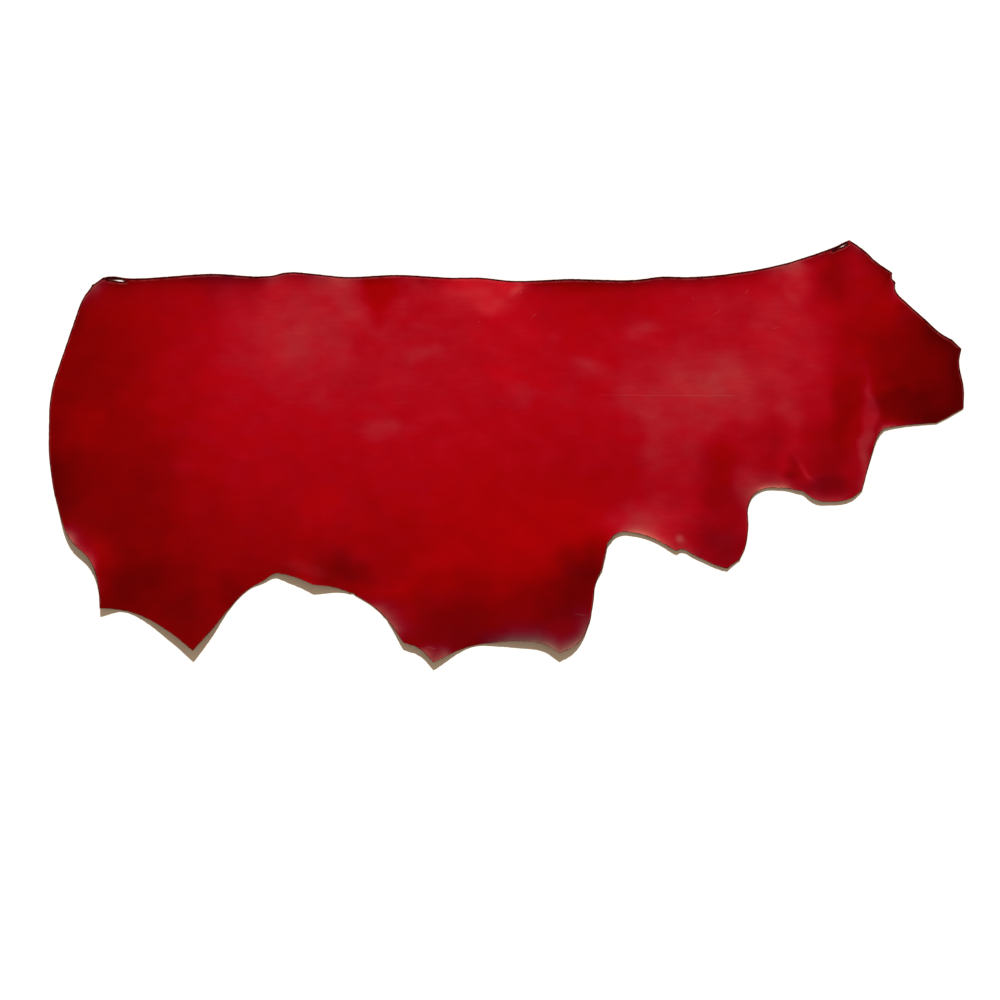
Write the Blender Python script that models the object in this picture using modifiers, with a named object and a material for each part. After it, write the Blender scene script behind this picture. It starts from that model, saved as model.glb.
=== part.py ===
"""A tanned leather side: half of a hide, cut along the backbone and laid flat, grain up.

The side is one solid: a sheet of even thickness with the outline of a real side. That has the
straight cut backbone, the neck end, the ragged belly with its shanks and bays, and the round
butt end. It rests on its flat middle, and its shanks and bays lift off the floor as they dried.

Frame: +X runs from the butt to the neck, +Y from the belly to the backbone, +Z up from the
flesh side to the grain side. The origin is on the floor, under the middle of the sheet's box.
"""

import math
from typing import NamedTuple

import bmesh
import bpy
from mathutils import Matrix, Vector

MM = 0.001

# Driving sizes, in millimetres. The outline, folds and slits are written for this length and width.
SIDE_LENGTH = 2563
SIDE_WIDTH = 1182
LEATHER_THICKNESS = 3.0
GRID_PITCH = 26
CUTTER_HEIGHT = 120

# How finely the edge is drawn between two of its points, and a slit along its length.
EDGE_STEPS = 5
SLIT_STEPS = 6

# A slit is widest past its middle: at 1 it would be widest halfway.
SLIT_SKEW = 2.2

LEATHER_RED = (0.40, 0.004, 0.010, 1.0)
LEATHER_ROUGHNESS = 0.42


class EdgePoint(NamedTuple):
    """A place on the cut edge: how far along from the butt end and across from the lowest tip."""

    along: float
    across: float
    is_corner: bool


class Fold(NamedTuple):
    """A soft swell: the sheet rises to its full height on a line and fades out within its reach."""

    place: str
    start: tuple
    end: tuple
    reach: float
    rise: float


class HangingSlit(NamedTuple):
    """A slit through the sheet, from its pointed tip to its wide end, for the hook of a drying line."""

    name: str
    tip: tuple
    wide_end: tuple
    width: float


def bend(along, across):
    """A place where the edge runs on smoothly."""
    return EdgePoint(along, across, is_corner=False)


def corner(along, across):
    """A place where the edge turns sharply."""
    return EdgePoint(along, across, is_corner=True)


# The cut along the backbone, from the butt to the poll.
BACKBONE = (
    corner(152, 1077),  # butt corner
    bend(178, 1081),
    bend(216, 1076),
    bend(241, 1075),
    bend(325, 1079),
    bend(451, 1088),
    bend(619, 1082),
    bend(666, 1092),
    bend(745, 1088),
    bend(829, 1079),
    bend(976, 1085),
    bend(1123, 1077),
    bend(1207, 1077),
    bend(1300, 1068),
    bend(1459, 1074),
    bend(1640, 1071),
    bend(1715, 1080),
    bend(1795, 1079),
    bend(1921, 1090),
    bend(2047, 1113),
    bend(2131, 1138),
    bend(2160, 1148),
    bend(2204, 1165),
    bend(2226, 1176),
    corner(2241, 1182),  # poll
)
# The neck end, from the poll down to the jaw.
NECK_END = (
    bend(2266, 1166),
    bend(2294, 1144),
    bend(2311, 1127),
    corner(2361, 1091),  # ear cut
    bend(2361, 1074),
    corner(2369, 1063),
    bend(2370, 1042),
    bend(2402, 1006),
    bend(2456, 958),
    bend(2495, 923),
    corner(2530, 903),
    corner(2555, 878),  # forehead
    bend(2549, 841),
    bend(2562, 765),
    corner(2561, 712),  # jaw
    bend(2523, 690),
    corner(2486, 671),
)
# From the throat round the brisket and the fore shank to the girth bay.
FORE_SHANK = (
    bend(2440, 667),
    bend(2397, 664),
    corner(2339, 656),  # throat
    bend(2326, 643),
    bend(2302, 575),
    corner(2277, 483),  # brisket corner
    bend(2244, 459),
    bend(2187, 450),
    bend(2148, 455),
    corner(2112, 479),
    bend(2047, 489),
    bend(1993, 483),
    bend(1963, 453),
    bend(1958, 370),
    bend(1949, 320),
    corner(1934, 289),
    corner(1899, 263),  # fore shank tip
    bend(1874, 270),
    bend(1808, 300),
    bend(1770, 317),
    corner(1758, 311),
    bend(1692, 347),
    bend(1633, 364),
    bend(1602, 365),
    bend(1576, 350),
    corner(1563, 328),
    corner(1549, 262),
)
# The belly flap with its two tips, and the flank bay.
BELLY = (
    bend(1531, 220),
    bend(1524, 165),
    bend(1509, 98),
    bend(1480, 52),
    corner(1430, 27),  # belly tip
    bend(1388, 51),
    bend(1333, 60),
    bend(1248, 56),
    bend(1166, 41),
    corner(1077, 0),  # flank tip
    bend(1041, 37),
    corner(992, 57),
    bend(950, 117),
    bend(909, 157),
    corner(853, 192),
    bend(798, 211),
    corner(741, 218),
    bend(700, 236),
    corner(662, 247),
    bend(632, 248),
    bend(601, 229),
    bend(556, 203),
    bend(510, 157),
    bend(462, 97),
)
# The hind shank, from its tip to the hock.
HIND_SHANK = (
    corner(405, 34),  # hind shank tip
    bend(344, 83),
    bend(249, 135),
    bend(182, 150),
    corner(144, 152),  # hock
)
# Up the round butt end, back to the backbone.
BUTT_END = (
    bend(140, 215),
    bend(119, 283),
    bend(60, 347),
    bend(29, 425),
    bend(6, 530),
    bend(0, 666),
    bend(9, 764),
    bend(36, 850),
    bend(73, 958),
    bend(94, 1015),
    corner(123, 1056),
)
OUTLINE = BACKBONE + NECK_END + FORE_SHANK + BELLY + HIND_SHANK + BUTT_END

FOLDS = (
    Fold("hock edge", (47, 316), (92, 266), 168, 27),
    Fold("hock corner", (118, 142), (126, 138), 90, 19),
    Fold("hind shank tip", (345, 18), (411, 2), 200, 31),
    Fold("flank bay", (690, 196), (731, 185), 124, 30),
    Fold("flank tip", (996, 22), (1077, -34), 140, 21),
    Fold("belly tip", (1335, -8), (1436, -25), 154, 30),
    Fold("girth bay", (1612, 310), (1850, 225), 134, 16),
    Fold("elbow bay", (2004, 456), (2088, 448), 101, 9),
    Fold("brisket", (2153, 417), (2237, 420), 112, 11),
    Fold("throat bay", (2349, 624), (2371, 624), 95, 11),
    Fold("neck ridge", (2276, 842), (2320, 672), 56, 6),
    Fold("shoulder roll", (2102, 1075), (2102, 735), 126, 8),
    Fold("neck roll", (2383, 1015), (2455, 745), 126, 10),
    Fold("rib wave", (1744, 736), (1752, 512), 98, 5),
    Fold("back wave", (1276, 1050), (1262, 800), 126, 5),
    Fold("loin wave", (848, 1058), (848, 848), 112, 6),
    Fold("rump wave", (436, 1016), (464, 512), 140, 5),
    Fold("butt corner", (126, 1086), (148, 1092), 90, 6),
    Fold("poll corner", (2222, 1190), (2241, 1190), 90, 6),
)

HANGING_SLITS = (
    HangingSlit("butt_slit", (160, 1072), (217, 1067), 4.0),
    HangingSlit("poll_slit", (2193, 1151), (2237, 1173), 3.6),
)


def clear_scene():
    """Removes what the scene starts with."""
    for thing in list(bpy.data.objects):
        bpy.data.objects.remove(thing)


def new_collection(name):
    """A collection of that name, linked to the scene."""
    collection = bpy.data.collections.new(name)
    bpy.context.scene.collection.children.link(collection)
    return collection


def leather_material():
    """Glossy red grain leather."""
    material = bpy.data.materials.new("red_leather")
    material.use_nodes = True
    shader = material.node_tree.nodes["Principled BSDF"]
    shader.inputs["Base Color"].default_value = LEATHER_RED
    shader.inputs["Roughness"].default_value = LEATHER_ROUGHNESS
    shader.inputs["Metallic"].default_value = 0.0
    return material


def tall_outline(name, points):
    """A closed, filled 2D curve through the points, tall enough to cut the whole sheet."""
    curve = bpy.data.curves.new(name, "CURVE")
    curve.dimensions = "2D"
    curve.fill_mode = "BOTH"
    curve.extrude = CUTTER_HEIGHT / 2 * MM
    curve.resolution_u = EDGE_STEPS
    spline = curve.splines.new("BEZIER")
    spline.bezier_points.add(len(points) - 1)
    for knot, point in zip(spline.bezier_points, points):
        knot.co = (point.along * MM, point.across * MM, 0.0)
        knot.handle_left_type = "VECTOR" if point.is_corner else "AUTO"
        knot.handle_right_type = knot.handle_left_type
    spline.use_cyclic_u = True
    return bpy.data.objects.new(name, curve)


def cutter_from(curve_object, collection):
    """The curve's solid as a closed mesh object that is never part of the model."""
    collection.objects.link(curve_object)
    bpy.context.view_layer.update()
    graph = bpy.context.evaluated_depsgraph_get()
    mesh = bpy.data.meshes.new_from_object(curve_object.evaluated_get(graph))
    solid = bmesh.new()
    solid.from_mesh(mesh)
    bmesh.ops.remove_doubles(solid, verts=solid.verts, dist=0.01 * MM)
    bmesh.ops.recalc_face_normals(solid, faces=solid.faces)
    solid.to_mesh(mesh)
    solid.free()
    cutter = bpy.data.objects.new(curve_object.name + "_cutter", mesh)
    cutter.matrix_world = curve_object.matrix_world
    bpy.data.objects.remove(curve_object)
    collection.objects.link(cutter)
    cutter.hide_render = True
    cutter.display_type = "WIRE"
    return cutter


def distance_to_line(point, start, end):
    """How far a point lies from the straight line between two others."""
    run = end - start
    share = (point - start).dot(run) / run.length_squared
    nearest = start + run * min(max(share, 0.0), 1.0)
    return (point - nearest).length


def lift_at(along, across):
    """The height of the flesh side over the floor at a place: the sum of the folds that reach it."""
    place = Vector((along, across))
    height = 0.0
    for fold in FOLDS:
        distance = distance_to_line(place, Vector(fold.start), Vector(fold.end))
        if distance < fold.reach:
            height += fold.rise * (1.0 - (distance / fold.reach) ** 2) ** 2
    return height


def slit_points(slit):
    """The outline of a slit: it swells from its tip and is widest near its far end."""
    tip = Vector(slit.tip)
    run = Vector(slit.wide_end) - tip
    sideways = Vector((-run.y, run.x)).normalized()
    upper = []
    lower = []
    for step in range(1, SLIT_STEPS):
        share = step / SLIT_STEPS
        half_width = slit.width / 2 * math.sin(math.pi * share**SLIT_SKEW)
        upper.append(bend(*(tip + run * share + sideways * half_width)))
        lower.append(bend(*(tip + run * share - sideways * half_width)))
    return [corner(*slit.tip), *upper, corner(*slit.wide_end), *reversed(lower)]


def middle_of(cutter):
    """The middle of a cutter's box."""
    places = [vertex.co for vertex in cutter.data.vertices]
    low = Vector(map(min, *places))
    high = Vector(map(max, *places))
    return (low + high) / 2


def uncut_sheet(name):
    """The flesh side before it is cut out: a grid a little larger than the side, raised by the folds."""
    columns = math.ceil(SIDE_LENGTH / GRID_PITCH) + 2
    rows = math.ceil(SIDE_WIDTH / GRID_PITCH) + 2
    size = Matrix.Diagonal((columns * GRID_PITCH * MM, rows * GRID_PITCH * MM, 1.0, 1.0))
    place = Matrix.Translation(Vector((SIDE_LENGTH, SIDE_WIDTH, 0.0)) / 2 * MM)
    grid = bmesh.new()
    bmesh.ops.create_grid(grid, x_segments=columns, y_segments=rows, size=0.5, matrix=place @ size)
    for vertex in grid.verts:
        vertex.co.z = lift_at(vertex.co.x / MM, vertex.co.y / MM) * MM
    mesh = bpy.data.meshes.new(name)
    grid.to_mesh(mesh)
    grid.free()
    mesh.shade_smooth()
    return bpy.data.objects.new(name, mesh)


def cut(thing, cutter, operation):
    """Adds a Boolean with the cutter."""
    boolean = thing.modifiers.new(operation.title(), "BOOLEAN")
    boolean.operation = operation
    boolean.solver = "EXACT"
    boolean.object = cutter


def build_side():
    """Builds the side and moves the middle of its box over the origin."""
    parts = new_collection("leather_side")
    cutters = new_collection("cutters")
    outline = cutter_from(tall_outline("outline", OUTLINE), cutters)
    slits = [cutter_from(tall_outline(slit.name, slit_points(slit)), cutters) for slit in HANGING_SLITS]

    side = uncut_sheet("hide")
    parts.objects.link(side)
    side.data.materials.append(leather_material())
    thickness = side.modifiers.new("Thickness", "SOLIDIFY")
    thickness.thickness = LEATHER_THICKNESS * MM
    thickness.offset = 1.0
    cut(side, outline, "INTERSECT")
    for slit in slits:
        cut(side, slit, "DIFFERENCE")

    middle = middle_of(outline)
    for thing in (side, outline, *slits):
        thing.location = (-middle.x, -middle.y, 0.0)


clear_scene()
build_side()
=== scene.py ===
"""One side of red waxed leather, laid flat with the grain up on a pale studio floor.

Lengths in the tables are millimetres on the side itself: along from the butt end to the neck end,
across from the lowest point of the belly edge to the backbone. The scene is in metres.
"""

from __future__ import annotations

import logging
import math
from dataclasses import dataclass
from enum import Enum
from typing import NamedTuple

import bmesh
import bpy
import numpy as np
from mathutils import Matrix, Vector, noise
from mathutils.bvhtree import BVHTree

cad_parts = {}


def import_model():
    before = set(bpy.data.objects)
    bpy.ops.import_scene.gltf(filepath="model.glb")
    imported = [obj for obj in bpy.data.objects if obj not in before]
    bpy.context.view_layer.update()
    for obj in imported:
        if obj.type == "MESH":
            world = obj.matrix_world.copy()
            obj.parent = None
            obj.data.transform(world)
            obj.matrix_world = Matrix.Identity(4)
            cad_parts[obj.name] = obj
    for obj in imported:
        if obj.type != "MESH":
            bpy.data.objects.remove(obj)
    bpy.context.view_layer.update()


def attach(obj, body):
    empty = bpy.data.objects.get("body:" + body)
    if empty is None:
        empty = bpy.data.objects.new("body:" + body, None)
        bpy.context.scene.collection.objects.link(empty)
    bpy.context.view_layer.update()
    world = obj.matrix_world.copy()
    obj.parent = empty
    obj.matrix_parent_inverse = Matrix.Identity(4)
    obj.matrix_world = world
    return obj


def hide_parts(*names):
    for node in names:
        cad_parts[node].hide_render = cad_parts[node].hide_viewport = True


LOG = logging.getLogger("leather_side")

SIDE_LENGTH = 2563.0
SIDE_WIDTH = 1182.0

Colour = tuple[float, float, float]


class Surface(Enum):
    """The three surfaces of a cut piece of leather, as the piece's material slots."""

    GRAIN = 0
    FLESH = 1
    CUT_EDGE = 2


class Fade(Enum):
    """How much of a mark of dyeing, painted shade, painted light or painted sheen keeps its full strength
    before it fades out.
    """

    SOFT = 0.0
    BROAD = 0.4
    CRISP = 0.7


class DyeAndPaintedLightMark(NamedTuple):
    """One mark of uneven dyeing, painted shade, painted light or painted sheen.

    The red runs from 0, the deepest, to 1, the brightest, and carries painted shade and painted light as
    well as uneven dyeing.
    The pale sheen on it is painted sheen, the reflection of the lights on the waxed grain.
    A mark that hugs the cut edge fades to a third of itself each time it goes that far inwards.
    """

    place: str
    along: float
    across: float
    half_length: float
    half_width: float
    turn: float
    dye_and_painted_shading: float
    painted_sheen: float
    fade: Fade = Fade.SOFT
    hug: float = 0.0


class Settle(NamedTuple):
    """A place where the thin sheet lies a little lower than the thick solid."""

    place: str
    along: float
    across: float
    half_length: float
    half_width: float
    share: float


class Crease(NamedTuple):
    """A soft ridge, or a trough where the rise is less than nothing, along a straight line."""

    place: str
    start: tuple[float, float]
    end: tuple[float, float]
    reach: float
    rise: float


class Nick(NamedTuple):
    """A small notch in the cut edge, or a burr that stands out where the depth is less than nothing."""

    place: str
    along: float
    across: float
    reach: float
    depth: float


class Slit(NamedTuple):
    """A narrow slit beside the backbone edge, with the thin strip that lies beyond it."""

    place: str
    start: tuple[float, float]
    end: tuple[float, float]
    widen: float


class Scratch(NamedTuple):
    """A pale scratch or rub line in the grain."""

    start: tuple[float, float]
    end: tuple[float, float]
    half_width: float
    strength: float


# Each mark moves two numbers. The red carries uneven dyeing together with painted shade and painted light;
# the sheen is painted sheen, the reflection of the lights on the waxed grain. Where a mark hugs the cut edge
# it paints shade or highlights along it.
DYE_AND_PAINTED_LIGHT_MARKS = (
    DyeAndPaintedLightMark("butt end", 0, 735, 560, 1500, 0, -0.45, -0.38),
    DyeAndPaintedLightMark("belly side", 500, -50, 1350, 850, 0, -0.50, -0.32),
    DyeAndPaintedLightMark("neck end", 2560, 760, 520, 900, 0, -0.66, -0.46),
    DyeAndPaintedLightMark("back veil", 927, 875, 640, 340, 0, 0.0, 0.20),
    DyeAndPaintedLightMark("rump veil", 680, 945, 300, 250, 0, 0.02, 0.31),
    DyeAndPaintedLightMark("tail veil", 790, 1090, 110, 80, 0, 0.03, 0.45),
    DyeAndPaintedLightMark("hip veil", 613, 1093, 70, 55, 0, 0.0, 0.30),
    DyeAndPaintedLightMark("spine veil", 1218, 1026, 190, 75, 0, 0.14, 0.36),
    DyeAndPaintedLightMark("spine glow", 1285, 931, 200, 150, 0, 0.08, 0.0),
    DyeAndPaintedLightMark("clear rump", 925, 1045, 62, 62, 10, -0.08, -0.40, Fade.BROAD),
    DyeAndPaintedLightMark("clear rump, lower", 905, 975, 50, 55, -20, -0.04, -0.25),
    DyeAndPaintedLightMark("rump cloud", 990, 985, 48, 40, 40, 0.0, 0.20),
    DyeAndPaintedLightMark("rump cloud, rear", 830, 1010, 55, 75, 0, 0.0, 0.18),
    DyeAndPaintedLightMark("spine cloud", 1150, 1030, 60, 50, -15, 0.04, 0.10),
    DyeAndPaintedLightMark("spine cloud, fore", 1307, 1045, 26, 24, 0, 0.06, 0.50),
    DyeAndPaintedLightMark("mid cloud", 1030, 1060, 45, 40, 0, 0.02, 0.20),
    DyeAndPaintedLightMark("spine strip", 1445, 1060, 150, 40, 0, -0.06, -0.25),
    DyeAndPaintedLightMark("dull back", 1543, 1015, 260, 110, 0, -0.10, -0.12),
    DyeAndPaintedLightMark("withers veil", 1860, 770, 330, 200, 0, 0.0, 0.56),
    DyeAndPaintedLightMark("withers streaks", 1913, 808, 120, 60, 0, 0.0, 0.12),
    DyeAndPaintedLightMark("back streaks", 1669, 934, 75, 35, -5, 0.0, 0.22),
    DyeAndPaintedLightMark("back streaks, lower", 1529, 847, 75, 35, 0, 0.0, 0.20),
    DyeAndPaintedLightMark("middle streaks", 1059, 867, 90, 35, 0, 0.0, 0.20),
    DyeAndPaintedLightMark("middle streaks, rear", 924, 783, 75, 35, 0, 0.0, 0.05),
    DyeAndPaintedLightMark("middle streaks, lower", 935, 648, 125, 52, 0, 0.0, 0.34),
    DyeAndPaintedLightMark("middle streaks, fore", 1319, 743, 85, 55, 0, 0.0, 0.22),
    DyeAndPaintedLightMark("back spot", 1428, 917, 55, 35, 0, 0.0, 0.15),
    DyeAndPaintedLightMark("elbow band", 1698, 630, 88, 205, 0, 0.0, 0.29),
    DyeAndPaintedLightMark("girth veil", 1665, 400, 190, 115, 0, 0.0, 0.52),
    DyeAndPaintedLightMark("throat veil", 2025, 494, 110, 70, 0, -0.20, 0.20),
    DyeAndPaintedLightMark("shoulder veil", 2055, 945, 115, 190, 0, 0.03, 0.20, Fade.BROAD),
    DyeAndPaintedLightMark("belly, clear", 1380, 330, 560, 330, 0, 0.0, -0.34),
    DyeAndPaintedLightMark("withers veil, rear", 1621, 745, 75, 120, 0, 0.0, 0.28),
    DyeAndPaintedLightMark("withers veil, upper", 1655, 917, 100, 120, 0, 0.0, 0.18),
    DyeAndPaintedLightMark("girth cloud", 1800, 545, 130, 120, 0, 0.0, 0.25),
    DyeAndPaintedLightMark("elbow upper shade", 1885, 458, 125, 75, 0, -0.24, 0.0),
    DyeAndPaintedLightMark("neck base shade", 1957, 657, 65, 75, 0, -0.10, -0.08),
    DyeAndPaintedLightMark("elbow burr glow", 1767, 329, 20, 18, 0, 0.05, 0.80),
    DyeAndPaintedLightMark("hock fore shade", 513, 190, 65, 90, 0, -0.14, 0.0),
    DyeAndPaintedLightMark("neck base veil", 1958, 515, 60, 130, 0, 0.0, 0.40),
    DyeAndPaintedLightMark("back cloud", 1510, 830, 130, 60, 0, 0.0, 0.22),
    DyeAndPaintedLightMark("fore back veil", 1900, 990, 260, 120, 0, 0.0, 0.22),
    DyeAndPaintedLightMark("elbow shade", 1895, 550, 150, 140, 0, -0.25, -0.24),
    DyeAndPaintedLightMark("neck fold", 2293, 665, 34, 170, 2, 0.15, 0.46, Fade.BROAD),
    DyeAndPaintedLightMark("neck shade", 2392, 722, 130, 60, 0, -0.20, 0.0, Fade.BROAD),
    DyeAndPaintedLightMark("head edge shade", 2467, 925, 140, 45, -38, -0.13, 0.0),
    DyeAndPaintedLightMark("poll light", 2257, 1121, 60, 50, 0, 0.05, 0.15),
    DyeAndPaintedLightMark("head crimson", 2395, 965, 40, 60, -30, 0.02, 0.26),
    DyeAndPaintedLightMark("head lower light", 2435, 715, 110, 60, 0, 0.10, 0.0),
    DyeAndPaintedLightMark("flank light", 1000, 215, 120, 50, 0, 0.09, 0.0),
    DyeAndPaintedLightMark("clear rump, rear", 885, 880, 50, 60, 0, 0.0, -0.16),
    DyeAndPaintedLightMark("clear rump, middle", 681, 959, 45, 42, 0, 0.0, -0.14),
    DyeAndPaintedLightMark("clear back", 985, 955, 65, 48, 0, 0.0, -0.14),
    DyeAndPaintedLightMark("belly light", 1110, 300, 120, 60, 0, 0.07, 0.0),
    DyeAndPaintedLightMark("rear cloud", 760, 745, 70, 50, 0, 0.0, 0.13),
    # Painted light on the rump fold.
    DyeAndPaintedLightMark("rump fold light", 620, 1065, 60, 70, 0, 0.10, 0.0),
    DyeAndPaintedLightMark("hind bay light", 880, 208, 90, 40, 0, 0.08, 0.0),
    DyeAndPaintedLightMark("butt edge shade", 25, 489, 90, 130, 0, -0.25, 0.0),
    DyeAndPaintedLightMark("hock shade", 277, 220, 170, 120, 0, -0.12, 0.0),
    DyeAndPaintedLightMark("flank shade", 825, 250, 115, 80, 0, -0.28, 0.0),
    DyeAndPaintedLightMark("belly flap", 1235, 49, 420, 266, 0, -0.40, 0.0),
    DyeAndPaintedLightMark("girth shade", 1530, 240, 150, 180, 0, -0.42, 0.0),
    DyeAndPaintedLightMark("elbow tip shade", 1885, 325, 185, 155, 0, -0.46, 0.0),
    DyeAndPaintedLightMark("fore shank shade", 2165, 545, 120, 180, 0, -0.26, 0.0),
    DyeAndPaintedLightMark("rump shade", 465, 1040, 190, 110, 0, -0.15, 0.0),
    DyeAndPaintedLightMark("poll shade", 2190, 1080, 80, 115, 0, -0.28, -0.08),
    DyeAndPaintedLightMark("hind light", 109, 657, 70, 110, 0, 0.13, 0.0),
    DyeAndPaintedLightMark("hind shade", 297, 511, 120, 200, 0, -0.09, 0.0),
    DyeAndPaintedLightMark("hock light", 140, 270, 95, 130, 0, 0.22, 0.0),
    DyeAndPaintedLightMark("hock tip shade", 381, 133, 110, 90, 0, -0.16, 0.0),
    DyeAndPaintedLightMark("hind bay shade", 650, 265, 100, 60, 0, -0.16, 0.0),
    DyeAndPaintedLightMark("hind light, fore", 781, 421, 120, 120, 0, 0.14, 0.0),
    DyeAndPaintedLightMark("middle light", 1290, 795, 130, 80, 0, 0.09, 0.0),
    DyeAndPaintedLightMark("butt edge shade, upper", 60, 965, 60, 70, 0, -0.14, 0.0),
    DyeAndPaintedLightMark("middle cloud", 1490, 735, 140, 70, 0, 0.0, 0.15),
    DyeAndPaintedLightMark("girth cloud, fore", 1800, 620, 70, 60, 0, 0.0, 0.18),
    DyeAndPaintedLightMark("middle shade", 1543, 525, 460, 220, 0, -0.14, 0.0),
    DyeAndPaintedLightMark("belly flap, fore", 1440, 175, 180, 230, 0, -0.34, 0.0),
    DyeAndPaintedLightMark("throat shade", 2025, 595, 75, 140, 0, -0.20, 0.0),
    DyeAndPaintedLightMark("neck fold shade", 2216, 690, 56, 160, 0, -0.22, -0.20),
    DyeAndPaintedLightMark("fore shank end", 2175, 488, 160, 70, 0, -0.34, 0.0),
    DyeAndPaintedLightMark("head light", 2345, 995, 90, 80, 0, 0.16, 0.0),
    DyeAndPaintedLightMark("neck fold top", 2285, 790, 26, 75, -8, 0.06, 0.30),
    DyeAndPaintedLightMark("poll veil", 2092, 1075, 58, 100, 0, 0.04, 0.20, Fade.BROAD),
    DyeAndPaintedLightMark("neck base cloud", 2083, 701, 65, 140, 0, 0.0, 0.26),
    DyeAndPaintedLightMark("neck crimson", 2150, 860, 75, 240, 0, 0.04, 0.22),
    DyeAndPaintedLightMark("shoulder spot", 2086, 533, 34, 46, -20, -0.34, -0.12),
    DyeAndPaintedLightMark("shoulder line", 2116, 543, 40, 11, -46, 0.14, 0.35),
    DyeAndPaintedLightMark("backbone roll", 1280, 1130, 2600, 200, 0, -0.55, -0.10, Fade.BROAD, 17),
    DyeAndPaintedLightMark("rump rim", 465, 1080, 150, 100, 0, -0.30, 0.0, Fade.BROAD, 25),
    DyeAndPaintedLightMark("back rim, fore", 1640, 1100, 340, 120, 0, -0.24, 0.0, Fade.BROAD, 17),
    DyeAndPaintedLightMark("tail rim", 835, 1085, 80, 70, 0, 0.30, 0.45, Fade.SOFT, 25),
    DyeAndPaintedLightMark("hip rim", 625, 1085, 60, 50, 0, -0.05, 0.15, Fade.SOFT, 20),
    DyeAndPaintedLightMark("spine rim", 1218, 1075, 170, 80, 0, 0.65, 0.35, Fade.BROAD, 25),
    DyeAndPaintedLightMark("mid rim", 1020, 1095, 60, 50, 0, 0.35, 0.10, Fade.SOFT, 25),
    DyeAndPaintedLightMark("withers rim", 2060, 1110, 80, 75, 0, 0.15, 0.85, Fade.BROAD, 24),
    DyeAndPaintedLightMark("poll rim", 2255, 1150, 60, 60, 0, 0.20, 0.80, Fade.SOFT, 14),
    DyeAndPaintedLightMark("head notch rim", 2370, 1035, 50, 60, 0, 0.40, 0.90, Fade.SOFT, 22),
    DyeAndPaintedLightMark("head rim", 2560, 760, 200, 280, 0, -0.40, 0.0, Fade.BROAD, 18),
    DyeAndPaintedLightMark("butt corner", 130, 1045, 75, 75, 0, 0.25, 1.25, Fade.SOFT, 38),
    DyeAndPaintedLightMark("hock rim", 90, 310, 80, 150, -30, 0.30, 1.05, Fade.BROAD, 26),
    DyeAndPaintedLightMark("hock glow", 66, 360, 45, 85, -30, 0.10, 0.85, Fade.BROAD, 20),
    DyeAndPaintedLightMark("hock rim, lower", 128, 240, 42, 70, 0, 0.12, 0.50, Fade.BROAD, 22),
    DyeAndPaintedLightMark("hind rim", 745, 225, 60, 50, 0, 0.10, 0.05, Fade.BROAD, 12),
    DyeAndPaintedLightMark("flank rim", 945, 130, 120, 90, 0, 0.10, 1.20, Fade.BROAD, 26),
    DyeAndPaintedLightMark("flank tip rim", 1075, 8, 80, 62, 0, 0.18, 1.15, Fade.BROAD, 28),
    DyeAndPaintedLightMark("belly rim", 1405, 60, 230, 120, 0, -0.26, 1.15, Fade.BROAD, 24),
    DyeAndPaintedLightMark("belly tip rim", 1435, 45, 65, 60, 0, 0.06, 0.30, Fade.BROAD, 22),
    DyeAndPaintedLightMark("girth glow", 1700, 365, 110, 40, -10, 0.05, 0.75, Fade.BROAD, 6),
    DyeAndPaintedLightMark("throat glow", 2020, 490, 75, 40, 0, 0.10, 0.90, Fade.BROAD, 6),
    DyeAndPaintedLightMark("neck fold glow", 2320, 650, 60, 40, 0, 0.20, 0.80, Fade.BROAD, 9),
    DyeAndPaintedLightMark("girth rim", 1705, 355, 165, 90, 0, 0.06, 0.95, Fade.BROAD, 20),
    DyeAndPaintedLightMark("elbow rim", 1830, 305, 90, 60, 0, -0.12, 0.25, Fade.SOFT, 10),
    DyeAndPaintedLightMark("elbow fore rim", 1940, 440, 50, 100, 0, 0.0, 0.32, Fade.SOFT, 30),
    DyeAndPaintedLightMark("throat rim", 2020, 490, 110, 70, 0, 0.05, 0.70, Fade.BROAD, 15),
    DyeAndPaintedLightMark("fore shank rim", 2175, 460, 90, 50, 0, 0.08, 0.60, Fade.BROAD, 18),
    DyeAndPaintedLightMark("neck fold rim", 2275, 555, 60, 120, 0, 0.05, 0.70, Fade.BROAD, 22),
    DyeAndPaintedLightMark("neck rim", 2400, 665, 120, 45, 0, 0.16, 0.60, Fade.BROAD, 10),
)

SETTLES = (
    Settle("head, lower", 2440, 680, 270, 130, 0.78),
    Settle("throat bay", 2000, 470, 130, 90, 0.45),
    Settle("elbow", 1885, 295, 165, 110, 0.50),
    Settle("girth bay", 1680, 350, 190, 110, 0.30),
    Settle("fore shank", 2180, 450, 120, 80, 0.25),
)

CREASES = (
    Crease("hock crease", (140, 330), (228, 205), 46, 1.8),
    Crease("hind bay crease", (668, 300), (812, 262), 42, -0.9),
    Crease("flank crease", (905, 235), (1010, 130), 44, 1.6),
    Crease("girth crease", (1640, 415), (1765, 385), 44, 1.8),
    Crease("elbow crease", (1752, 345), (1795, 420), 34, 1.4),
    Crease("shoulder crease", (2089, 590), (2159, 483), 40, 2.2),
    Crease("neck fold, upper", (2268, 805), (2318, 675), 42, 2.4),
    Crease("neck fold, lower", (2300, 640), (2238, 500), 46, 2.6),
)

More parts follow.
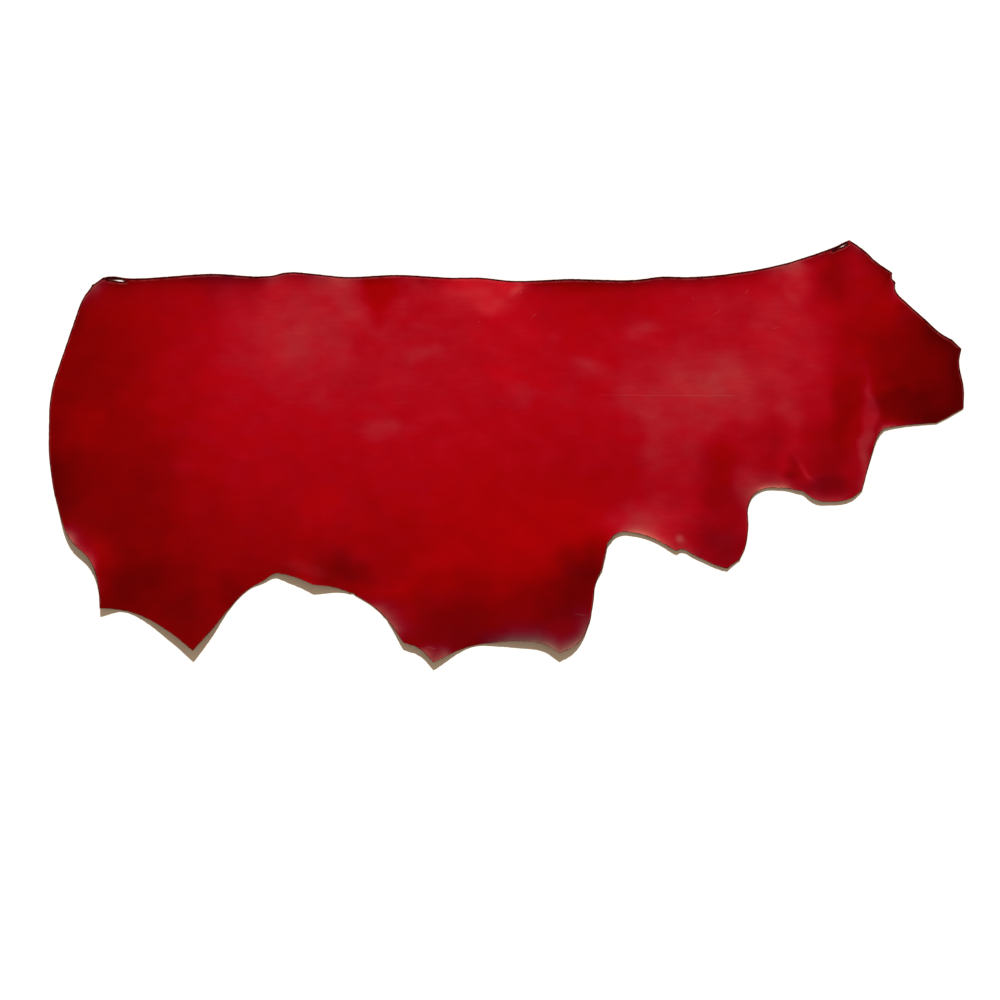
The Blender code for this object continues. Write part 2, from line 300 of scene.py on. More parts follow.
NICKS = (
    Nick("hind bay", 640, 251, 9, 1.6),
    Nick("flank, upper", 851, 192, 8, 1.4),
    Nick("flank, middle", 947, 125, 8, 1.8),
    Nick("flank, lower", 1025, 49, 7, 1.5),
    Nick("girth, rear", 1568, 332, 7, 1.3),
    Nick("girth, fore", 1759, 312, 8, 1.4),
    Nick("hind bay burr", 664, 243, 4, -2.4),
    Nick("girth burr", 1572, 347, 5, -2.0),
    Nick("elbow burr", 1910, 262, 5, -1.8),
    Nick("elbow burr, middle", 1921, 271, 5, -2.6),
    Nick("elbow notch", 1928, 277, 4, 1.6),
    Nick("elbow burr, fore", 1936, 285, 6, -2.4),
    Nick("poll burr", 2366, 1065, 7, -1.8),
    Nick("head notch", 2512, 893, 9, 1.6),
    Nick("butt burr", 123, 1057, 6, -1.4),
)

SLITS = (
    Slit("butt slit", (160, 1072), (217, 1067), 1.9),
    Slit("poll slit", (2193, 1151), (2237, 1173), 0.8),
)

SCRATCHES = (
    Scratch((1543, 749), (1921, 747), 1.8, 0.22),
    Scratch((1857, 970), (1879, 984), 1.0, 0.4),
    Scratch((2025, 934), (2047, 939), 1.2, 0.4),
    Scratch((1803, 1023), (1806, 1015), 1.0, 0.4),
    Scratch((1350, 962), (1364, 976), 1.2, 0.5),
    Scratch((1321, 1034), (1324, 1037), 1.4, 0.6),
    Scratch((1203, 953), (1206, 954), 1.4, 0.6),
    Scratch((1951, 1034), (1960, 1044), 1.0, 0.6),
    Scratch((1062, 44), (1084, 38), 1.2, 0.5),
    Scratch((1473, 136), (1501, 132), 1.2, 0.5),
)


def on_side(along: float, across: float) -> tuple[float, float]:
    """Turns a place on the side, in millimetres, into the scene's x and y in metres."""
    return (along - SIDE_LENGTH / 2) / 1000, (across - SIDE_WIDTH / 2) / 1000


class NodeBench:
    """Lays out the shader nodes of one material."""

    def __init__(self, name: str) -> None:
        """Starts an empty material."""
        self.material = bpy.data.materials.new(name)
        self.material.use_nodes = True
        self.tree = self.material.node_tree
        self.tree.nodes.clear()

    def add(self, kind: str, **settings: object) -> bpy.types.Node:
        """Adds a node and gives it its settings.

        Args:
            kind: The node's type, without the ShaderNode in front.
            settings: The node's own properties.

        Returns:
            The new node.
        """
        node = self.tree.nodes.new("ShaderNode" + kind)
        for name, value in settings.items():
            setattr(node, name, value)
        return node

    def feed(self, socket: bpy.types.NodeSocket, value: object) -> None:
        """Links a socket to another, or sets it to a value.

        Args:
            socket: The input.
            value: An output socket, or what the input is set to.
        """
        if isinstance(value, bpy.types.NodeSocket):
            self.tree.links.new(value, socket)
        elif socket.type == "RGBA":
            socket.default_value = (*value[:3], 1.0)
        else:
            socket.default_value = value

    def math(self, operation: str, *values: object) -> bpy.types.NodeSocket:
        """Works out a number.

        Args:
            operation: The Math node's operation.
            values: Its inputs, as numbers or sockets.

        Returns:
            The result's socket.
        """
        node = self.add("Math", operation=operation)
        for socket, value in zip(node.inputs, values):
            self.feed(socket, value)
        return node.outputs[0]

    def vector(self, operation: str, *values: object) -> bpy.types.Node:
        """Works out a vector.

        Args:
            operation: The Vector Math node's operation.
            values: Its inputs, as vectors or sockets. The scale comes last.

        Returns:
            The node, because some operations give a number.
        """
        node = self.add("VectorMath", operation=operation)
        inputs = [node.inputs[0], node.inputs["Scale"]] if operation == "SCALE" else node.inputs
        for socket, value in zip(inputs, values):
            self.feed(socket, value)
        return node

    def attribute(self, name: str) -> bpy.types.NodeSocket:
        """Reads one of the piece's own numbers."""
        return self.add("Attribute", attribute_type="GEOMETRY", attribute_name=name).outputs["Fac"]

    def stretched(self, scale: Vector, turn: float = 0.0) -> bpy.types.NodeSocket:
        """Gives the object's coordinates, stretched for a pattern.

        Args:
            scale: How often the pattern repeats in a metre, along each axis.
            turn: The pattern's turn about the upright axis, in degrees.

        Returns:
            The coordinates' socket.
        """
        node = self.add("Mapping")
        self.feed(node.inputs["Vector"], self.add("TexCoord").outputs["Object"])
        node.inputs["Scale"].default_value = scale
        node.inputs["Rotation"].default_value = (0.0, 0.0, math.radians(turn))
        return node.outputs["Vector"]

    def cloud(self, place: bpy.types.NodeSocket, detail: float = 3.0) -> bpy.types.NodeSocket:
        """Gives soft noise from about -0.5 to 0.5.

        Args:
            place: The coordinates, already scaled.
            detail: How many finer layers it has.

        Returns:
            The noise's socket.
        """
        node = self.add("TexNoise")
        self.feed(node.inputs["Vector"], place)
        node.inputs["Scale"].default_value = 1.0
        node.inputs["Detail"].default_value = detail
        return self.math("SUBTRACT", node.outputs["Fac"], 0.5)

    def rise(self, value: object, low: float, high: float) -> bpy.types.NodeSocket:
        """Goes smoothly from 0 at the low value to 1 at the high one.

        Args:
            value: The number's socket.
            low: Where the rise starts.
            high: Where it ends. Under low, it falls instead.

        Returns:
            The result's socket.
        """
        node = self.add("MapRange", interpolation_type="SMOOTHSTEP")
        falls = high < low
        for name, number in (("From Min", min(low, high)), ("From Max", max(low, high))):
            node.inputs[name].default_value = number
        node.inputs["To Min"].default_value = 1.0 if falls else 0.0
        node.inputs["To Max"].default_value = 0.0 if falls else 1.0
        self.feed(node.inputs["Value"], value)
        return node.outputs["Result"]

    def ramp(self, value: object, stops: tuple[tuple[float, Colour], ...]) -> bpy.types.NodeSocket:
        """Turns a number into a colour.

        Args:
            value: The number's socket.
            stops: Each stop's place and colour.

        Returns:
            The colour's socket.
        """
        node = self.add("ValToRGB")
        points = node.color_ramp.elements
        while len(points) < len(stops):
            points.new(0.5)
        for point, (place, colour) in zip(points, stops):
            point.position = place
            point.color = (*colour, 1.0)
        self.feed(node.inputs["Fac"], value)
        return node.outputs["Color"]

    def mix(self, factor: object, first: object, second: object) -> bpy.types.NodeSocket:
        """Mixes two colours.

        Args:
            factor: The share of the second.
            first: A colour or its socket.
            second: A colour or its socket.

        Returns:
            The colour's socket.
        """
        node = self.add("Mix", data_type="RGBA")
        for index, value in ((0, factor), (6, first), (7, second)):
            self.feed(node.inputs[index], value)
        return node.outputs[2]

    def bump(self, height: object, distance: float, strength: float = 1.0) -> bpy.types.NodeSocket:
        """Turns a height into a bent normal.

        Args:
            height: The height's socket, from 0 to 1.
            distance: The height of 1, in metres.
            strength: How much of it shows.

        Returns:
            The normal's socket.
        """
        node = self.add("Bump")
        node.inputs["Strength"].default_value = strength
        node.inputs["Distance"].default_value = distance
        self.feed(node.inputs["Height"], height)
        return node.outputs["Normal"]

    def finish(
        self,
        colour: object,
        roughness: object,
        specular: float,
        normal: object = None,
        tint: Colour = (1.0, 1.0, 1.0),
    ) -> bpy.types.Material:
        """Ends the material with its shader.

        Args:
            colour: The base colour or its socket.
            roughness: The roughness or its socket.
            specular: How strongly it mirrors.
            normal: The bent normal's socket.
            tint: The colour of what it mirrors.

        Returns:
            The material.
        """
        shader = self.add("BsdfPrincipled")
        self.feed(shader.inputs["Base Color"], colour)
        self.feed(shader.inputs["Roughness"], roughness)
        shader.inputs["Specular IOR Level"].default_value = specular
        shader.inputs["Specular Tint"].default_value = (*tint, 1.0)
        if normal is not None:
            self.feed(shader.inputs["Normal"], normal)
        end = self.add("OutputMaterial")
        self.feed(end.inputs["Surface"], shader.outputs["BSDF"])
        return self.material


@dataclass(frozen=True)
class GrainFinish:
    """Hand-dyed and waxed red over a fine pebbled grain, with painted shade, painted light and painted
    sheen, and a painted highlight just inside the cut edge.
    """

    name: str = "grain_leather"
    # Reds from the deepest to the brightest, for the dyeing and painted shading number.
    reds_for_dyeing_and_shading: tuple[tuple[float, Colour], ...] = (
        (0.0, (0.078, 0.0002, 0.0002)),
        (0.3, (0.150, 0.0002, 0.0002)),
        (0.55, (0.235, 0.0002, 0.0005)),
        (0.8, (0.335, 0.0003, 0.0014)),
        (1.0, (0.440, 0.0006, 0.0030)),
    )
    # Colours of the painted sheen, from thin to strong.
    painted_sheen_colours: tuple[tuple[float, Colour], ...] = (
        (0.175, (0.002, 0.0030, 0.0260)),
        (0.475, (0.012, 0.0220, 0.0260)),
        (0.75, (0.030, 0.0300, 0.0240)),
    )
    # The cut edge's dark dyeing, and the painted shade of the strips beyond the slits.
    edge_dye_and_strip_shade: Colour = (0.026, 0.0010, 0.0012)
    # The painted highlight just inside the cut edge.
    edge_highlight: Colour = (0.420, 0.0650, 0.0700)
    edge_width: float = 0.0032
    roughness: float = 0.28
    specular: float = 0.12
    tint: Colour = (1.0, 0.42, 0.68)

    def material(self, scratches: tuple[Scratch, ...]) -> bpy.types.Material:
        """Makes the material.

        Args:
            scratches: The pale lines in it.

        Returns:
            The material.
        """
        bench = NodeBench(self.name)
        # Random mottle and brush streaks of the dyeing; the veil clouds are painted sheen.
        mottle = bench.cloud(bench.stretched((13.0, 17.0, 1.0)), 5.0)
        veil = bench.cloud(bench.stretched((13.0, 20.0, 1.0), 8.0), 5.0)
        streak = bench.cloud(bench.stretched((16.0, 130.0, 1.0), 1.5), 4.0)
        # The red: uneven dyeing with painted shade and painted light, plus mottle and streaks.
        dye_and_painted_shading = bench.math("ADD", bench.attribute("dye_and_painted_shading"), bench.math("MULTIPLY", mottle, 0.21))
        dye_and_painted_shading = bench.math("ADD", dye_and_painted_shading, bench.math("MULTIPLY", streak, 0.04))
        base = bench.ramp(dye_and_painted_shading, self.reds_for_dyeing_and_shading)

        # Painted sheen: the reflection of the lights on the waxed grain, from the piece's own numbers, the
        # veil clouds and the streaks.
        painted_sheen = bench.math("ADD", bench.attribute("painted_sheen"), bench.math("MULTIPLY", veil, 0.50))
        painted_sheen = bench.math("MAXIMUM", bench.math("MULTIPLY_ADD", streak, 0.13, painted_sheen), 0.0)
        # Real scratches and rub lines, drawn in the painted sheen's pale colour.
        for scratch in scratches:
            painted_sheen = bench.math("ADD", painted_sheen, self.scratch_mask(bench, scratch))
        # The painted sheen's colour, cool where it is thin and warm where it is strong, scaled by its
        # square.
        painted_sheen_colour = bench.ramp(bench.math("MULTIPLY", painted_sheen, 0.5), self.painted_sheen_colours)
        painted_sheen_colour = bench.vector("SCALE", painted_sheen_colour, bench.math("POWER", painted_sheen, 2.0)).outputs[0]
        colour = bench.vector("ADD", base, painted_sheen_colour).outputs[0]

        rim = bench.attribute("rim")
        uneven = bench.cloud(bench.stretched((40.0, 40.0, 40.0)), 2.0)
        width = bench.math("MULTIPLY_ADD", uneven, 0.002, rim)
        facing = bench.math("MULTIPLY_ADD", bench.attribute("north"), 0.6, 0.68)
        width = bench.math("DIVIDE", width, bench.math("MAXIMUM", facing, 0.08))
        edge = self.edge_width
        # A painted highlight: a thin pale line just inside the cut edge, where the rounded grain catches the
        # light.
        light = bench.math(
            "MULTIPLY", bench.rise(width, edge, edge * 1.3), bench.rise(width, edge * 2.4, edge * 1.6)
        )
        light = bench.math("MULTIPLY", light, bench.rise(uneven, -0.25, 0.2))
        colour = bench.mix(bench.math("MULTIPLY", light, 0.3), colour, self.edge_highlight)
        # The dark-dyed line along the cut edge, wider where the edge faces the backbone; over the thin
        # strips beyond the slits it is painted shade.
        colour = bench.mix(bench.rise(width, edge * 1.2, edge * 0.7), colour, self.edge_dye_and_strip_shade)

        cells = bench.add("TexVoronoi", feature="SMOOTH_F1")
        bench.feed(cells.inputs["Vector"], bench.stretched((620.0, 780.0, 620.0)))
        cells.inputs["Scale"].default_value = 1.0
        draw = bench.cloud(bench.stretched((45.0, 95.0, 45.0), 20.0), 3.0)
        height = bench.math("MULTIPLY_ADD", draw, 0.8, cells.outputs["Distance"])
        rough = bench.math("MULTIPLY_ADD", mottle, 0.12, self.roughness)
        normal = bench.bump(height, 0.0002, 0.3)
        return bench.finish(colour, rough, self.specular, normal, self.tint)

    def scratch_mask(self, bench: NodeBench, scratch: Scratch) -> bpy.types.NodeSocket:
        """Draws one scratch as a soft line between its two ends.

        Args:
            bench: The material's bench.
            scratch: The line.

        Returns:
            The mask's socket, up to the scratch's strength.
        """
        start = Vector((*on_side(*scratch.start), 0.0))
        run = Vector((*on_side(*scratch.end), 0.0)) - start
        place = bench.vector("MULTIPLY", bench.stretched((1.0, 1.0, 1.0)), (1.0, 1.0, 0.0)).outputs[0]
        away = bench.vector("SUBTRACT", place, start).outputs[0]
        share = bench.vector("DOT_PRODUCT", away, run / run.length_squared).outputs["Value"]
        share = bench.math("MINIMUM", bench.math("MAXIMUM", share, 0.0), 1.0)
        on_line = bench.vector("SCALE", run, share).outputs[0]
        gap = bench.vector("DISTANCE", away, on_line).outputs["Value"]
        half = scratch.half_width / 1000
        return bench.math("MULTIPLY", bench.rise(gap, half, half * 0.3), scratch.strength)


@dataclass(frozen=True)
class FleshFinish:
    """The fibrous suede of the flesh side, dulled by the dye that soaked through."""

    name: str = "flesh_suede"
    dark: Colour = (0.150, 0.034, 0.026)
    pale: Colour = (0.300, 0.105, 0.070)
    roughness: float = 0.92

    def material(self) -> bpy.types.Material:
        """Makes the material."""
        bench = NodeBench(self.name)
        patches = bench.cloud(bench.stretched((9.0, 13.0, 1.0)), 4.0)
        fibres = bench.cloud(bench.stretched((220.0, 900.0, 220.0), 30.0), 4.0)
        tone = bench.math("MULTIPLY_ADD", fibres, 0.9, 0.5)
        tone = bench.math("ADD", tone, bench.math("MULTIPLY", patches, 0.7))
        colour = bench.mix(tone, self.dark, self.pale)
        return bench.finish(colour, self.roughness, 0.2, bench.bump(fibres, 0.0006, 0.7))


@dataclass(frozen=True)
class CutEdgeFinish:
    """The knife-cut edge, dyed dark, with random paler layers and patches and painted light where it faces
    the belly, away from the key light.
    """

    name: str = "cut_edge"
    dark: Colour = (0.030, 0.0030, 0.0025)
    # Paler colour of random patches, and the painted light on belly-facing edges.
    pale_and_painted_light: Colour = (0.420, 0.0900, 0.0650)
    roughness: float = 0.75

    def material(self) -> bpy.types.Material:
        """Makes the material."""
        bench = NodeBench(self.name)
        layers = bench.cloud(bench.stretched((60.0, 60.0, 1800.0)), 3.0)
        paleness_and_painted_light = bench.cloud(bench.stretched((25.0, 25.0, 25.0)), 3.0)
        # Lighter where the edge faces the belly, away from the key light: painted light over its shade.
        paleness_and_painted_light = bench.math("MULTIPLY_ADD", bench.attribute("north"), -0.45, paleness_and_painted_light)
        tone = bench.math("MULTIPLY_ADD", layers, 0.5, bench.math("ADD", paleness_and_painted_light, 0.45))
        colour = bench.mix(tone, self.dark, self.pale_and_painted_light)
        return bench.finish(colour, self.roughness, 0.0, bench.bump(layers, 0.0003, 0.5))


@dataclass(frozen=True)
class FloorFinish:
    """Matt white studio paper."""

    name: str = "studio_paper"
    colour: Colour = (0.95, 0.95, 0.95)

    def material(self) -> bpy.types.Material:
        """Makes the material."""
        bench = NodeBench(self.name)
        fibre = bench.cloud(bench.stretched((160.0, 160.0, 160.0)), 2.0)
        shade = tuple(0.985 * part for part in self.colour)
        tone = bench.math("ADD", fibre, 0.5)
        colour = bench.mix(tone, (*shade, 1.0), (*self.colour, 1.0))
        return bench.finish(colour, 1.0, 0.0)


@dataclass
class LeatherSide:
    """The side of leather: a thin sheet on the folds of its solid."""

    node: str = "hide"
    piece: str = "leather_side"
    flat_width: float = 1.182
    flat_length: float = 2.563
    flat_area: float = 2.06
    thickness: float = 0.003
    rim_step: float = 0.003
    pitch: float = 0.0075
    raggedness: float = 0.0005
    edge_round: float = 0.0005
    rim_reach: float = 0.08
    smoothing: int = 12
    base_dye: float = 0.79
    base_painted_sheen: float = 0.36
    wander: float = 0.026

    def solid(self) -> bmesh.types.BMesh:
        """Copies the solid's flesh side.

        Returns:
            Its downward faces, merged.
        """
        side = bmesh.new()
        side.from_mesh(bpy.data.objects[self.node].data)
        bmesh.ops.remove_doubles(side, verts=side.verts, dist=1e-5)
        side.normal_update()
        others = [face for face in side.faces if face.normal.z > -0.5]
        bmesh.ops.delete(side, geom=others, context="FACES")
        return side

    def cut(self, solid: bmesh.types.BMesh) -> bmesh.types.BMesh:
        """Flattens the flesh side into one clean cut piece.

        Args:
            solid: The solid's flesh side.

        Returns:
            The flat piece, facing up, with short steps along its edge.
        """
        flat = solid.copy()
        bmesh.ops.scale(flat, vec=(1.0, 1.0, 0.0), verts=flat.verts)
        bmesh.ops.reverse_faces(flat, faces=flat.faces)
        bmesh.ops.dissolve_limit(
            flat, angle_limit=math.radians(2.0), verts=flat.verts, edges=flat.edges
        )
        by_cuts: dict[int, list[bmesh.types.BMEdge]] = {}
        for edge in flat.edges:
            cuts = int(edge.calc_length() / self.rim_step) if edge.is_boundary else 0
            by_cuts.setdefault(cuts, []).append(edge)
        for cuts, edges in by_cuts.items():
            if cuts:
                bmesh.ops.bisect_edges(flat, edges=edges, cuts=cuts)
        return flat

    def roughen(self, flat: bmesh.types.BMesh) -> None:
        """Makes the cut edge slightly uneven, with its nicks and burrs.

        Args:
            flat: The flat piece.
        """
        outward: dict[bmesh.types.BMVert, Vector] = {}
        for edge in flat.edges:
            if edge.is_boundary:
                loop = edge.link_loops[0]
                run = loop.link_loop_next.vert.co - loop.vert.co
                for vert in edge.verts:
                    outward[vert] = outward.get(vert, Vector()) + Vector((run.y, -run.x, 0.0))
        for vert, way in outward.items():
            shift = self.raggedness * noise.noise(vert.co * 90.0)
            shift += 0.4 * self.raggedness * noise.noise(vert.co * 260.0)
            for nick in NICKS:
                gap = (vert.co - Vector((*on_side(nick.along, nick.across), 0.0))).length
                shift -= nick.depth / 1000 * max(0.0, 1.0 - (gap * 1000 / nick.reach) ** 2)
            vert.co += way.normalized() * shift

    def strip_share(self, place: Vector, slit: Slit) -> float:
        """Tells how much a point belongs to the thin strip beyond a slit.

        Args:
            place: The point, in metres.
            slit: The slit.

        Returns:
            From 0, not at all, to 1, halfway along the strip.
        """
        start, end = (Vector(on_side(*point)) for point in (slit.start, slit.end))
        run = end - start
        away = place.xy - start
        share = away.dot(run) / run.length_squared
        beyond = (run.x * away.y - run.y * away.x) / run.length * 1000
        if not 0.0 < share < 1.0 or not 0.5 < beyond < 14.0:
            return 0.0
        return min(1.0, 4.5 * share, 4.5 * (1.0 - share))

    def open_slits(self, flat: bmesh.types.BMesh) -> None:
        """Draws the far side of each slit away from the near one.

        Args:
            flat: The flat piece.
        """
        for slit in SLITS:
            start, end = (Vector(on_side(*point)) for point in (slit.start, slit.end))
            away = Vector((start.y - end.y, end.x - start.x, 0.0)).normalized()
            for vert in flat.verts:
                gap = (vert.co.xy - start).dot(away.xy) * 1000
                if vert.is_boundary and gap < 3.2:
                    vert.co += away * self.strip_share(vert.co, slit) * slit.widen / 1000

    def grid(self, flat: bmesh.types.BMesh) -> None:
        """Cuts the flat piece into small squares.

        Args:
            flat: The flat piece.
        """
        for normal, half in (((1.0, 0.0, 0.0), 1.29), ((0.0, 1.0, 0.0), 0.6)):
            for step in range(int(2 * half / self.pitch)):
                bmesh.ops.bisect_plane(
                    flat,
                    geom=[*flat.verts, *flat.edges, *flat.faces],
                    dist=1e-5,
                    plane_co=Vector(normal) * (step * self.pitch - half),
                    plane_no=normal,
                )

    def measure_rim(self, flat: bmesh.types.BMesh) -> None:
        """Notes how far each point is from the nearest cut edge.

        Args:
            flat: The flat piece.
        """
        rim = [edge for edge in flat.edges if edge.is_boundary]
        fence = bmesh.new()
        for edge in rim:
            fence.edges.new([fence.verts.new(vert.co) for vert in edge.verts])
        raised = bmesh.ops.extrude_edge_only(fence, edges=fence.edges[:])["geom"]
        tops = [part for part in raised if isinstance(part, bmesh.types.BMVert)]
        bmesh.ops.translate(fence, verts=tops, vec=(0.0, 0.0, 0.01))
        tree = BVHTree.FromBMesh(fence)
        layer, north = (flat.verts.layers.float.new(name) for name in ("rim", "north"))
        for vert in flat.verts:
            nearest, _, _, gap = tree.find_nearest(vert.co, self.rim_reach)
            # The strip beyond a slit gets no distance to the cut edge, so the dark edge colour covers it as
            # painted shade.
            lies = max(self.strip_share(vert.co, slit) for slit in SLITS)
            vert[layer] = self.rim_reach if gap is None else gap * (1.0 - lies)
            vert[north] = (nearest.y - vert.co.y) / gap if gap else 0.0
        on_rim = [vert for vert in flat.verts if vert.is_boundary]
        for vert in on_rim:
            beside = [edge.other_vert(vert)[north] for edge in vert.link_edges if not edge.is_boundary]
            vert[north] = sum(beside) / max(1, len(beside))
        fence.free()

    def drape(self, flat: bmesh.types.BMesh, solid: bmesh.types.BMesh) -> None:
        """Lays the flat piece on the solid's folds and adds the small creases.

        Args:
            flat: The flat piece.
            solid: The solid's flesh side.
        """
        tree = BVHTree.FromBMesh(solid)
        for vert in flat.verts:
            hit = tree.ray_cast(Vector((vert.co.x, vert.co.y, -1.0)), Vector((0.0, 0.0, 1.0)))[0]
            vert.co.z = (hit or tree.find_nearest(vert.co)[0]).z
        for _ in range(self.smoothing):
            bmesh.ops.smooth_vert(flat, verts=flat.verts, factor=0.5, use_axis_z=True)
        for vert in flat.verts:
            lies = max(self.strip_share(vert.co, slit) for slit in SLITS)
            height = vert.co.z * self.settling(vert.co) + self.crease_height(vert.co)
            vert.co.z = max(height, 0.0001) * (1.0 - 0.8 * lies)

    def settling(self, place: Vector) -> float:
        """Tells what share of the solid's height the thin sheet keeps at one place.

        Args:
            place: The point, in metres.

        Returns:
            The share.
        """
        share = 1.0
        for settle in SETTLES:
            x, y = on_side(settle.along, settle.across)
            out = ((place.x - x) * 1000 / settle.half_length) ** 2
            out += ((place.y - y) * 1000 / settle.half_width) ** 2
            share *= 1.0 - settle.share * max(0.0, 1.0 - out) ** 2
        return share

    def crease_height(self, place: Vector) -> float:
        """Adds up the small creases at one place.

        Args:
            place: The point, in metres.

        Returns:
            The height that they add, in metres.
        """
        height = 0.0004 * (1.0 + noise.noise(Vector((place.x * 9.0, place.y * 9.0, 3.0))))
        for crease in CREASES:
            start = Vector(on_side(*crease.start))
            run = Vector(on_side(*crease.end)) - start
            away = place.xy - start
            share = min(max(away.dot(run) / run.length_squared, 0.0), 1.0)
            gap = (away - run * share).length * 1000 / crease.reach
            height += crease.rise / 1000 * max(0.0, 1.0 - gap * gap) ** 2
        return height

    def thicken(self, sheet: bmesh.types.BMesh) -> None:
        """Gives the sheet its thickness, with a slightly rounded cut edge.

        Args:
            sheet: The draped surface, which becomes the flesh side.
        """
        flesh = sheet.faces[:]
        raised = bmesh.ops.extrude_face_region(sheet, geom=flesh, use_keep_orig=True)["geom"]
        tops = [part for part in raised if isinstance(part, bmesh.types.BMVert)]
        for vert in tops:
            lies = max(self.strip_share(vert.co, slit) for slit in SLITS)
            vert.co.z += self.thickness * (1.0 - 0.6 * lies)
        grain = [part for part in raised if isinstance(part, bmesh.types.BMFace)]
        bmesh.ops.reverse_faces(sheet, faces=flesh)
        known = set(flesh) | set(grain)
        walls = [face for face in sheet.faces if face not in known]
        for faces, surface in (
            (flesh, Surface.FLESH),
            (grain, Surface.GRAIN),
            (walls, Surface.CUT_EDGE),
        ):
            for face in faces:
                face.material_index = surface.value
                face.smooth = True
        wall_edges = {edge for face in walls for edge in face.edges}
        for edge in wall_edges:
            edge.smooth = known.isdisjoint(edge.link_faces)
        uprights = [edge for edge in wall_edges if edge.smooth]
        made = bmesh.ops.subdivide_edges(sheet, edges=uprights, cuts=2, use_grid_fill=True)
        sheet.normal_update()
        middle = [part for part in made["geom_inner"] if isinstance(part, bmesh.types.BMVert)]
        shifts = [(vert, vert.normal.copy()) for vert in middle]
        for vert, way in shifts:
            way.z = 0.0
            vert.co += way.normalized() * self.edge_round

    def colour_points(self, mesh: bpy.types.Mesh) -> None:
        """Writes the dye and the haze of each point.

        Args:
            Writes each point's red, uneven dyeing with painted shade and painted light, and its painted
            sheen.
        """
        count = len(mesh.vertices)
        places = np.empty(count * 3, np.float32)
        mesh.vertices.foreach_get("co", places)
        places = places.reshape(-1, 3).astype(float)
        drift = np.array([noise.noise_vector(Vector(place) * 8.0)[:2] for place in places])
        drift += 0.8 * np.array([noise.noise_vector(Vector(place) * 21.0)[:2] for place in places])
        x, y = (places[:, :2] + self.wander * drift).T
        rim = np.empty(count, np.float32)
        mesh.attributes["rim"].data.foreach_get("value", rim)
        # Every point starts from the plain dyed red and a base of painted sheen.
        dye_and_painted_shading, painted_sheen = np.full(count, self.base_dye), np.full(count, self.base_painted_sheen)
        for mark in DYE_AND_PAINTED_LIGHT_MARKS:
            middle = on_side(mark.along, mark.across)
            turn = math.radians(mark.turn)
            dx, dy = (x - middle[0]) * 1000, (y - middle[1]) * 1000
            along = (dx * math.cos(turn) + dy * math.sin(turn)) / mark.half_length
            across = (dy * math.cos(turn) - dx * math.sin(turn)) / mark.half_width
            keep = mark.fade.value
            out = np.clip((np.hypot(along, across) - keep) / (1.0 - keep), 0.0, 1.0)
            share = 1.0 - out * out * (3.0 - 2.0 * out)
            if mark.hug:
                share = share * np.exp(-1000.0 * rim / mark.hug)
            dye_and_painted_shading += mark.dye_and_painted_shading * share
            painted_sheen += mark.painted_sheen * share
        for name, values in (("dye_and_painted_shading", dye_and_painted_shading), ("painted_sheen", painted_sheen)):
            layer = mesh.attributes.new(name, "FLOAT", "POINT")
            layer.data.foreach_set("value", values.astype(np.float32))

    def build(self) -> bpy.types.Object:
        """Makes the sheet and dresses it.

        Returns:
            The piece.
        """
        solid = self.solid()
        sheet = self.cut(solid)
        self.roughen(sheet)
        self.open_slits(sheet)
        self.grid(sheet)
        self.measure_rim(sheet)
        self.drape(sheet, solid)
        self.thicken(sheet)
        mesh = bpy.data.meshes.new(self.piece)
        sheet.to_mesh(mesh)
        for spare in (solid, sheet):
            spare.free()
        self.colour_points(mesh)
        mesh.materials.append(GrainFinish().material(SCRATCHES))
        mesh.materials.append(FleshFinish().material())
        mesh.materials.append(CutEdgeFinish().material())
        piece = bpy.data.objects.new(self.piece, mesh)
        bpy.context.scene.collection.objects.link(piece)
        LOG.info("%s: %d points, %d faces", piece.name, len(mesh.vertices), len(mesh.polygons))
        return piece

    def declare(self, piece: bpy.types.Object) -> None:
        """Attaches the piece to the root body and hides the solid it stands in for.

        Args:
            piece: The sheet.
        """
        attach(piece, "root")
        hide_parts(self.node)


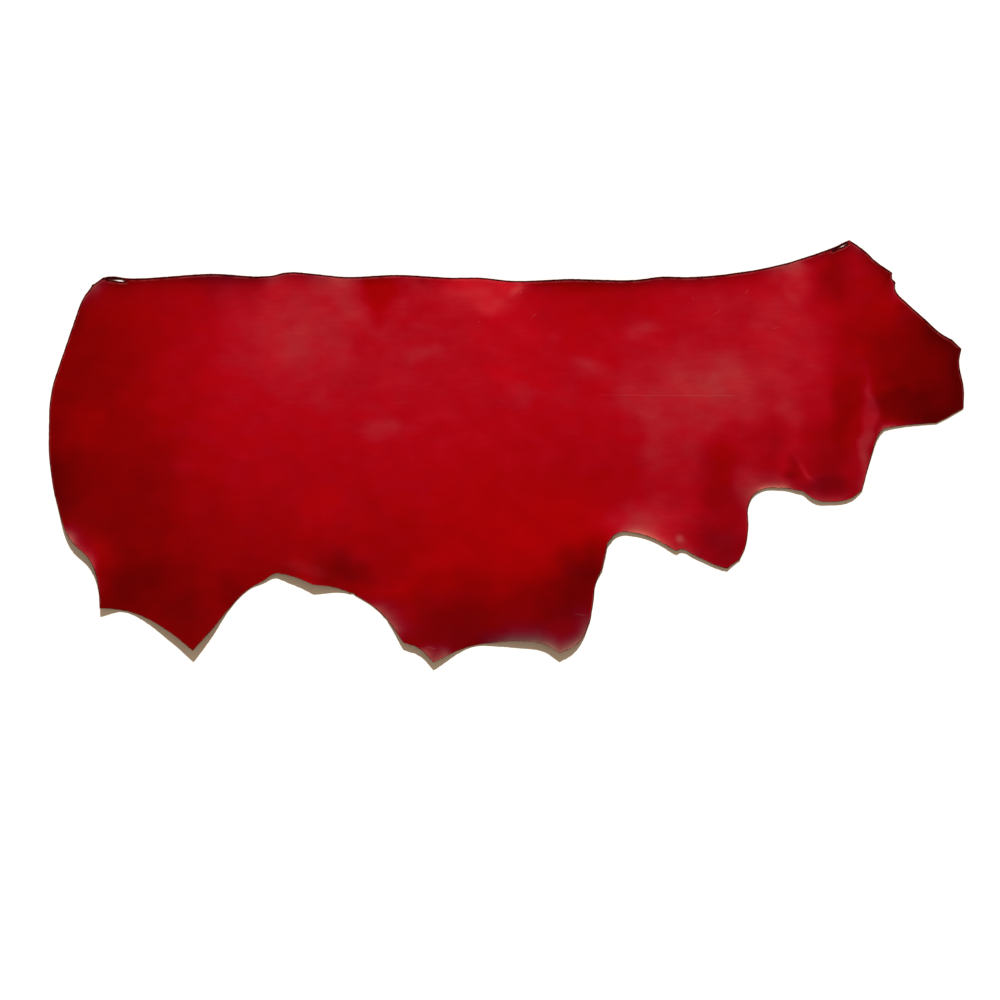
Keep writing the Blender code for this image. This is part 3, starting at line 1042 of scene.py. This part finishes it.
@dataclass
class Studio:
    """The floor, the lights and the camera straight above."""

    floor_size: float = 40.0
    floor_drop: float = 0.0004
    sun_height: float = 44.0
    sun_spread: float = 2.0
    sun_power: float = 4.2
    fill: Colour = (0.345, 0.252, 0.165)
    fill_gloss: float = 0.04
    box_power: float = 26.0
    view_x: float = -0.0176
    view_y: float = -0.1361
    view_height: float = 12.0
    view_width: float = 2.8
    sensor: float = 36.0

    def floor(self) -> bpy.types.Object:
        """Lays the floor.

        Returns:
            The floor.
        """
        sheet = bmesh.new()
        bmesh.ops.create_grid(sheet, x_segments=1, y_segments=1, size=self.floor_size / 2)
        bmesh.ops.translate(sheet, verts=sheet.verts, vec=(0.0, 0.0, -self.floor_drop))
        mesh = bpy.data.meshes.new("floor")
        sheet.to_mesh(mesh)
        sheet.free()
        mesh.materials.append(FloorFinish().material())
        floor = bpy.data.objects.new("floor", mesh)
        bpy.context.scene.collection.objects.link(floor)
        return floor

    def sun(self) -> None:
        """Hangs the key light over the backbone side, so that shadows fall towards the belly."""
        lamp = bpy.data.lights.new("key", "SUN")
        lamp.energy = self.sun_power
        lamp.angle = math.radians(self.sun_spread)
        key = bpy.data.objects.new("key", lamp)
        key.rotation_euler = (math.radians(self.sun_height - 90.0), 0.0, 0.0)
        key.visible_glossy = False
        bpy.context.scene.collection.objects.link(key)

    def gloss_box(self) -> None:
        """Adds a soft box that only shows as gloss on lifted rims."""
        lamp = bpy.data.lights.new("gloss_box", "AREA")
        lamp.shape = "RECTANGLE"
        lamp.size, lamp.size_y = 4.0, 1.2
        lamp.energy = self.box_power
        box = bpy.data.objects.new("gloss_box", lamp)
        box.location = (0.0, 3.4, 4.0)
        box.rotation_euler = (math.radians(-40.0), 0.0, 0.0)
        box.visible_diffuse = False
        bpy.context.scene.collection.objects.link(box)

    def air(self) -> None:
        """Fills the shadows with a warm glow, and shows plain white beyond the floor."""
        world = bpy.data.worlds.new("studio_air")
        bpy.context.scene.world = world
        world.use_nodes = True
        nodes, links = world.node_tree.nodes, world.node_tree.links
        nodes.clear()
        path = nodes.new("ShaderNodeLightPath")
        glow, quiet, white = (nodes.new("ShaderNodeBackground") for _ in range(3))
        glow.inputs["Color"].default_value = (*self.fill, 1.0)
        quiet.inputs["Color"].default_value = (1.0, 1.0, 1.0, 1.0)
        quiet.inputs["Strength"].default_value = self.fill_gloss
        white.inputs["Color"].default_value = (1.0, 1.0, 1.0, 1.0)
        for_gloss, for_camera = (nodes.new("ShaderNodeMixShader") for _ in range(2))
        links.new(path.outputs["Is Glossy Ray"], for_gloss.inputs[0])
        links.new(glow.outputs[0], for_gloss.inputs[1])
        links.new(quiet.outputs[0], for_gloss.inputs[2])
        links.new(path.outputs["Is Camera Ray"], for_camera.inputs[0])
        links.new(for_gloss.outputs[0], for_camera.inputs[1])
        links.new(white.outputs[0], for_camera.inputs[2])
        end = nodes.new("ShaderNodeOutputWorld")
        links.new(for_camera.outputs[0], end.inputs["Surface"])

    def camera(self) -> None:
        """Looks straight down at the side from high up."""
        lens = bpy.data.cameras.new("camera")
        lens.sensor_width = self.sensor
        lens.lens = self.sensor * self.view_height / self.view_width
        lens.clip_end = 100.0
        camera = bpy.data.objects.new("camera", lens)
        camera.location = (self.view_x, self.view_y, self.view_height + 0.003)
        bpy.context.scene.collection.objects.link(camera)
        bpy.context.scene.camera = camera

    def build(self) -> bpy.types.Object:
        """Sets the stage.

        Returns:
            The floor.
        """
        self.sun()
        self.gloss_box()
        self.air()
        self.camera()
        bpy.context.scene.view_settings.view_transform = "Standard"
        LOG.info("studio: key light %.0f degrees up, camera %.0f m above", self.sun_height, self.view_height)
        return self.floor()


def main() -> None:
    """Loads the frame, builds the side on it and sets the studio."""
    logging.basicConfig(level=logging.INFO, format="%(message)s")
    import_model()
    floor = Studio().build()
    side = LeatherSide()
    piece = side.build()
    side.declare(piece)


if __name__ == "__main__":
    main()
